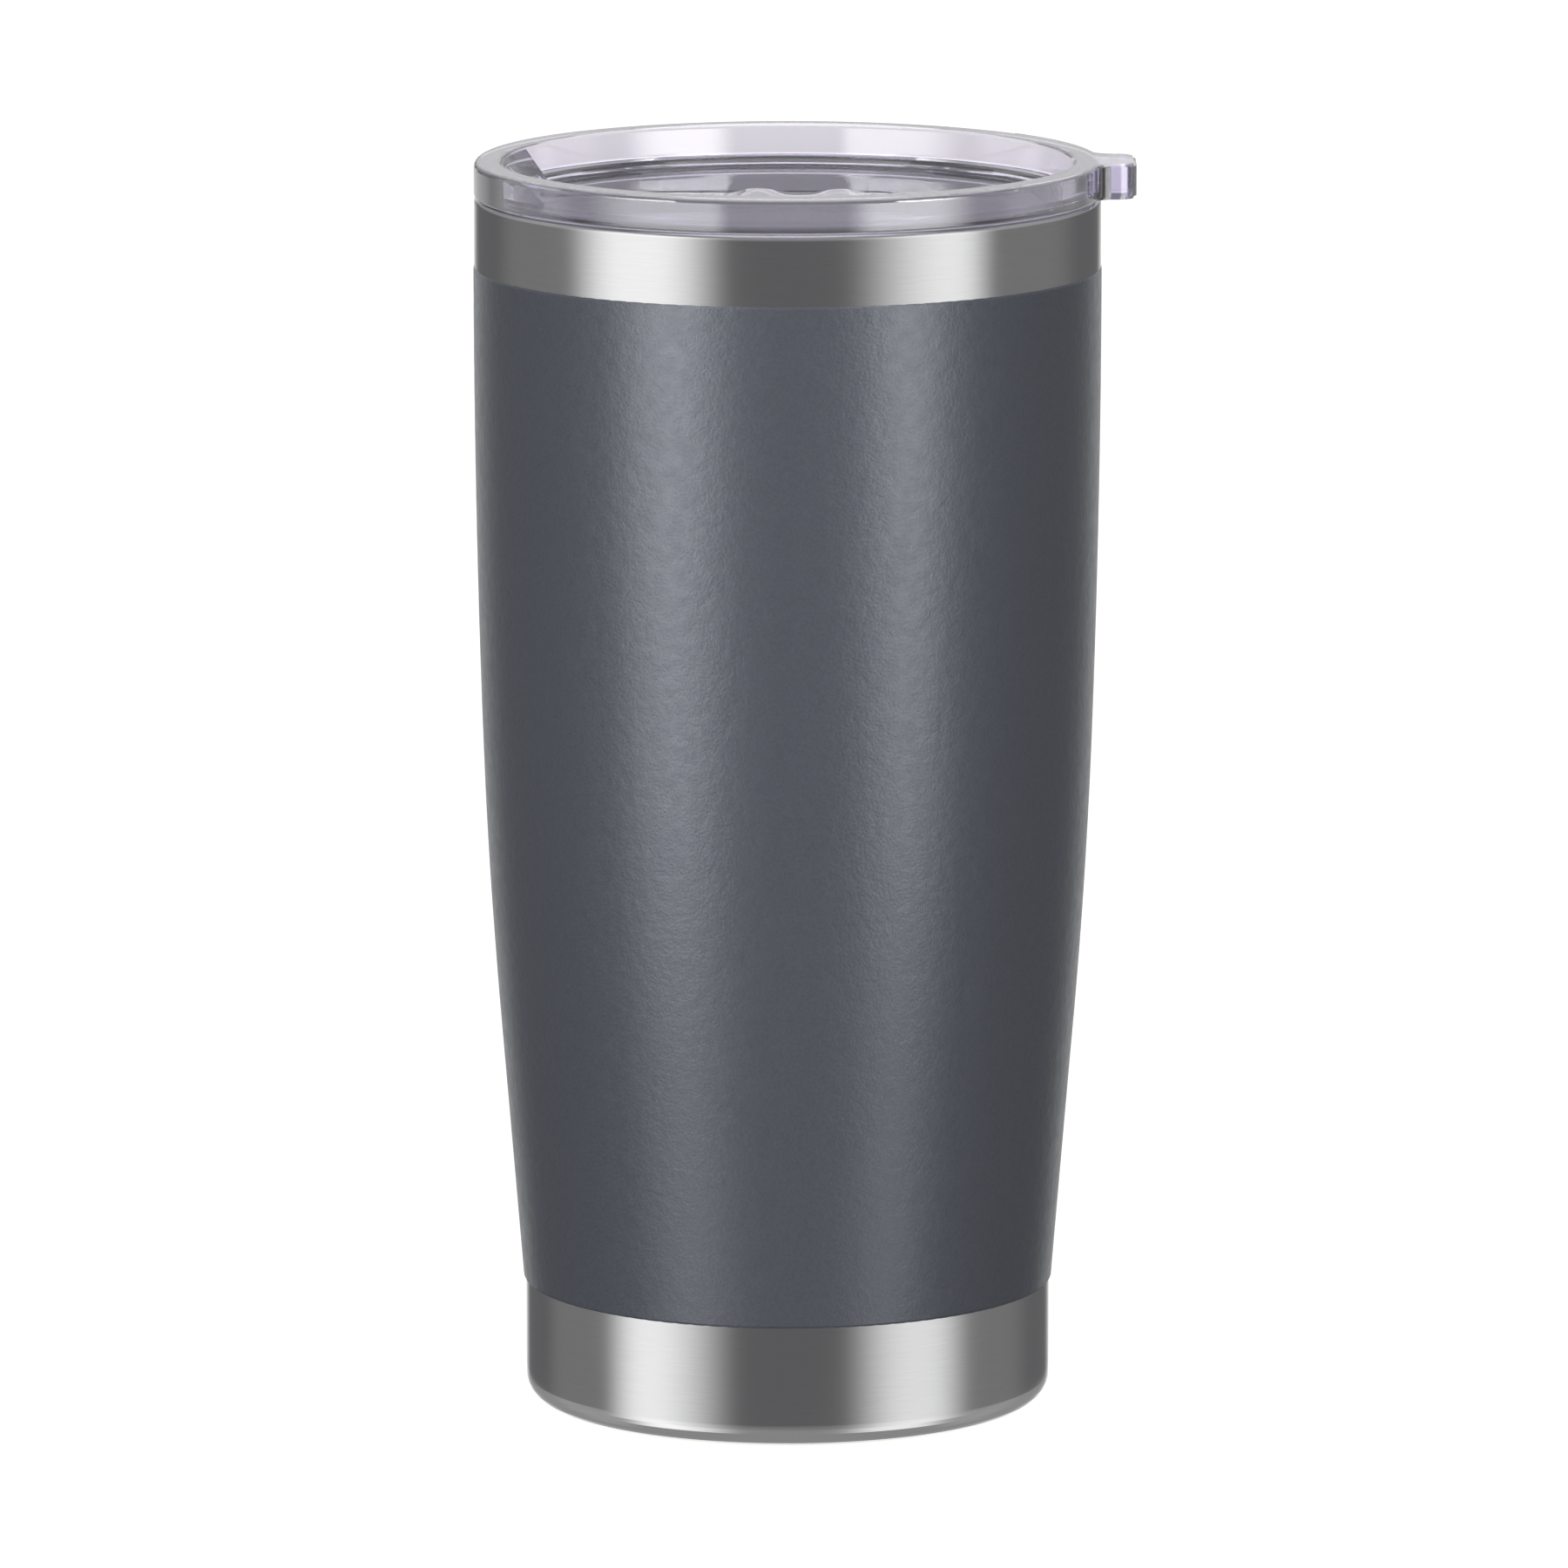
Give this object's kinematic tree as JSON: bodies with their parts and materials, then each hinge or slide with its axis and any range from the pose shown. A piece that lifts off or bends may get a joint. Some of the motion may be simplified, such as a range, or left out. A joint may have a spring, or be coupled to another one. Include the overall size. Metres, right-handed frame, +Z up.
{
  "type": "insulated tumbler with lid",
  "caption": "Tapered double-wall vacuum tumbler with bare steel bands, a clear press-in lid with a lift tab, and a sliding sip closure.",
  "frame": {"origin": "centre of the foot ring, on the surface that the tumbler stands on", "axes": "+Z up along the body's axis, +X towards the lid's lift tab, -X towards its sip opening"},
  "size_m": [0.0923, 0.0876, 0.1758],
  "materials": {
    "steel": "satin polished stainless steel",
    "powder_coat": "fine-grained grey powder coat",
    "foil": "bright copper foil",
    "getter": "pressed metal powder",
    "solder_glass": "fused sealing glass",
    "clear_plastic": "clear moulded plastic with a faint lavender tint",
    "silicone": "translucent silicone"
  },
  "bodies": {
    "tumbler": {"outer_shell": "steel", "powder_coat": "powder_coat", "inner_liner": "steel", "liner_bottom": "steel", "heat_foil": "foil", "base_cup": "steel", "base_cover": "steel", "getter_pellet": "getter", "getter_clip": "steel", "seal_bead": "solder_glass"},
    "gasket": {"lid_gasket": "silicone"},
    "lid": {"lid": "clear_plastic"},
    "slider": {"slider": "clear_plastic", "slider_seal": "silicone"}
  },
  "joints": [
    {"name": "lid_lift", "type": "slide", "parent": "tumbler", "child": "gasket", "axis": [0, 0, 1], "range_m": [0, 0.04]},
    {"name": "lid_turn", "type": "hinge", "parent": "gasket", "child": "lid", "pos_m": [0, 0, 0.17], "axis": [0, 0, 1], "continuous": true},
    {"name": "slider_slide", "type": "slide", "parent": "lid", "child": "slider", "axis": [-1, 0, 0], "range_m": [0, 0.0098]}
  ]
}
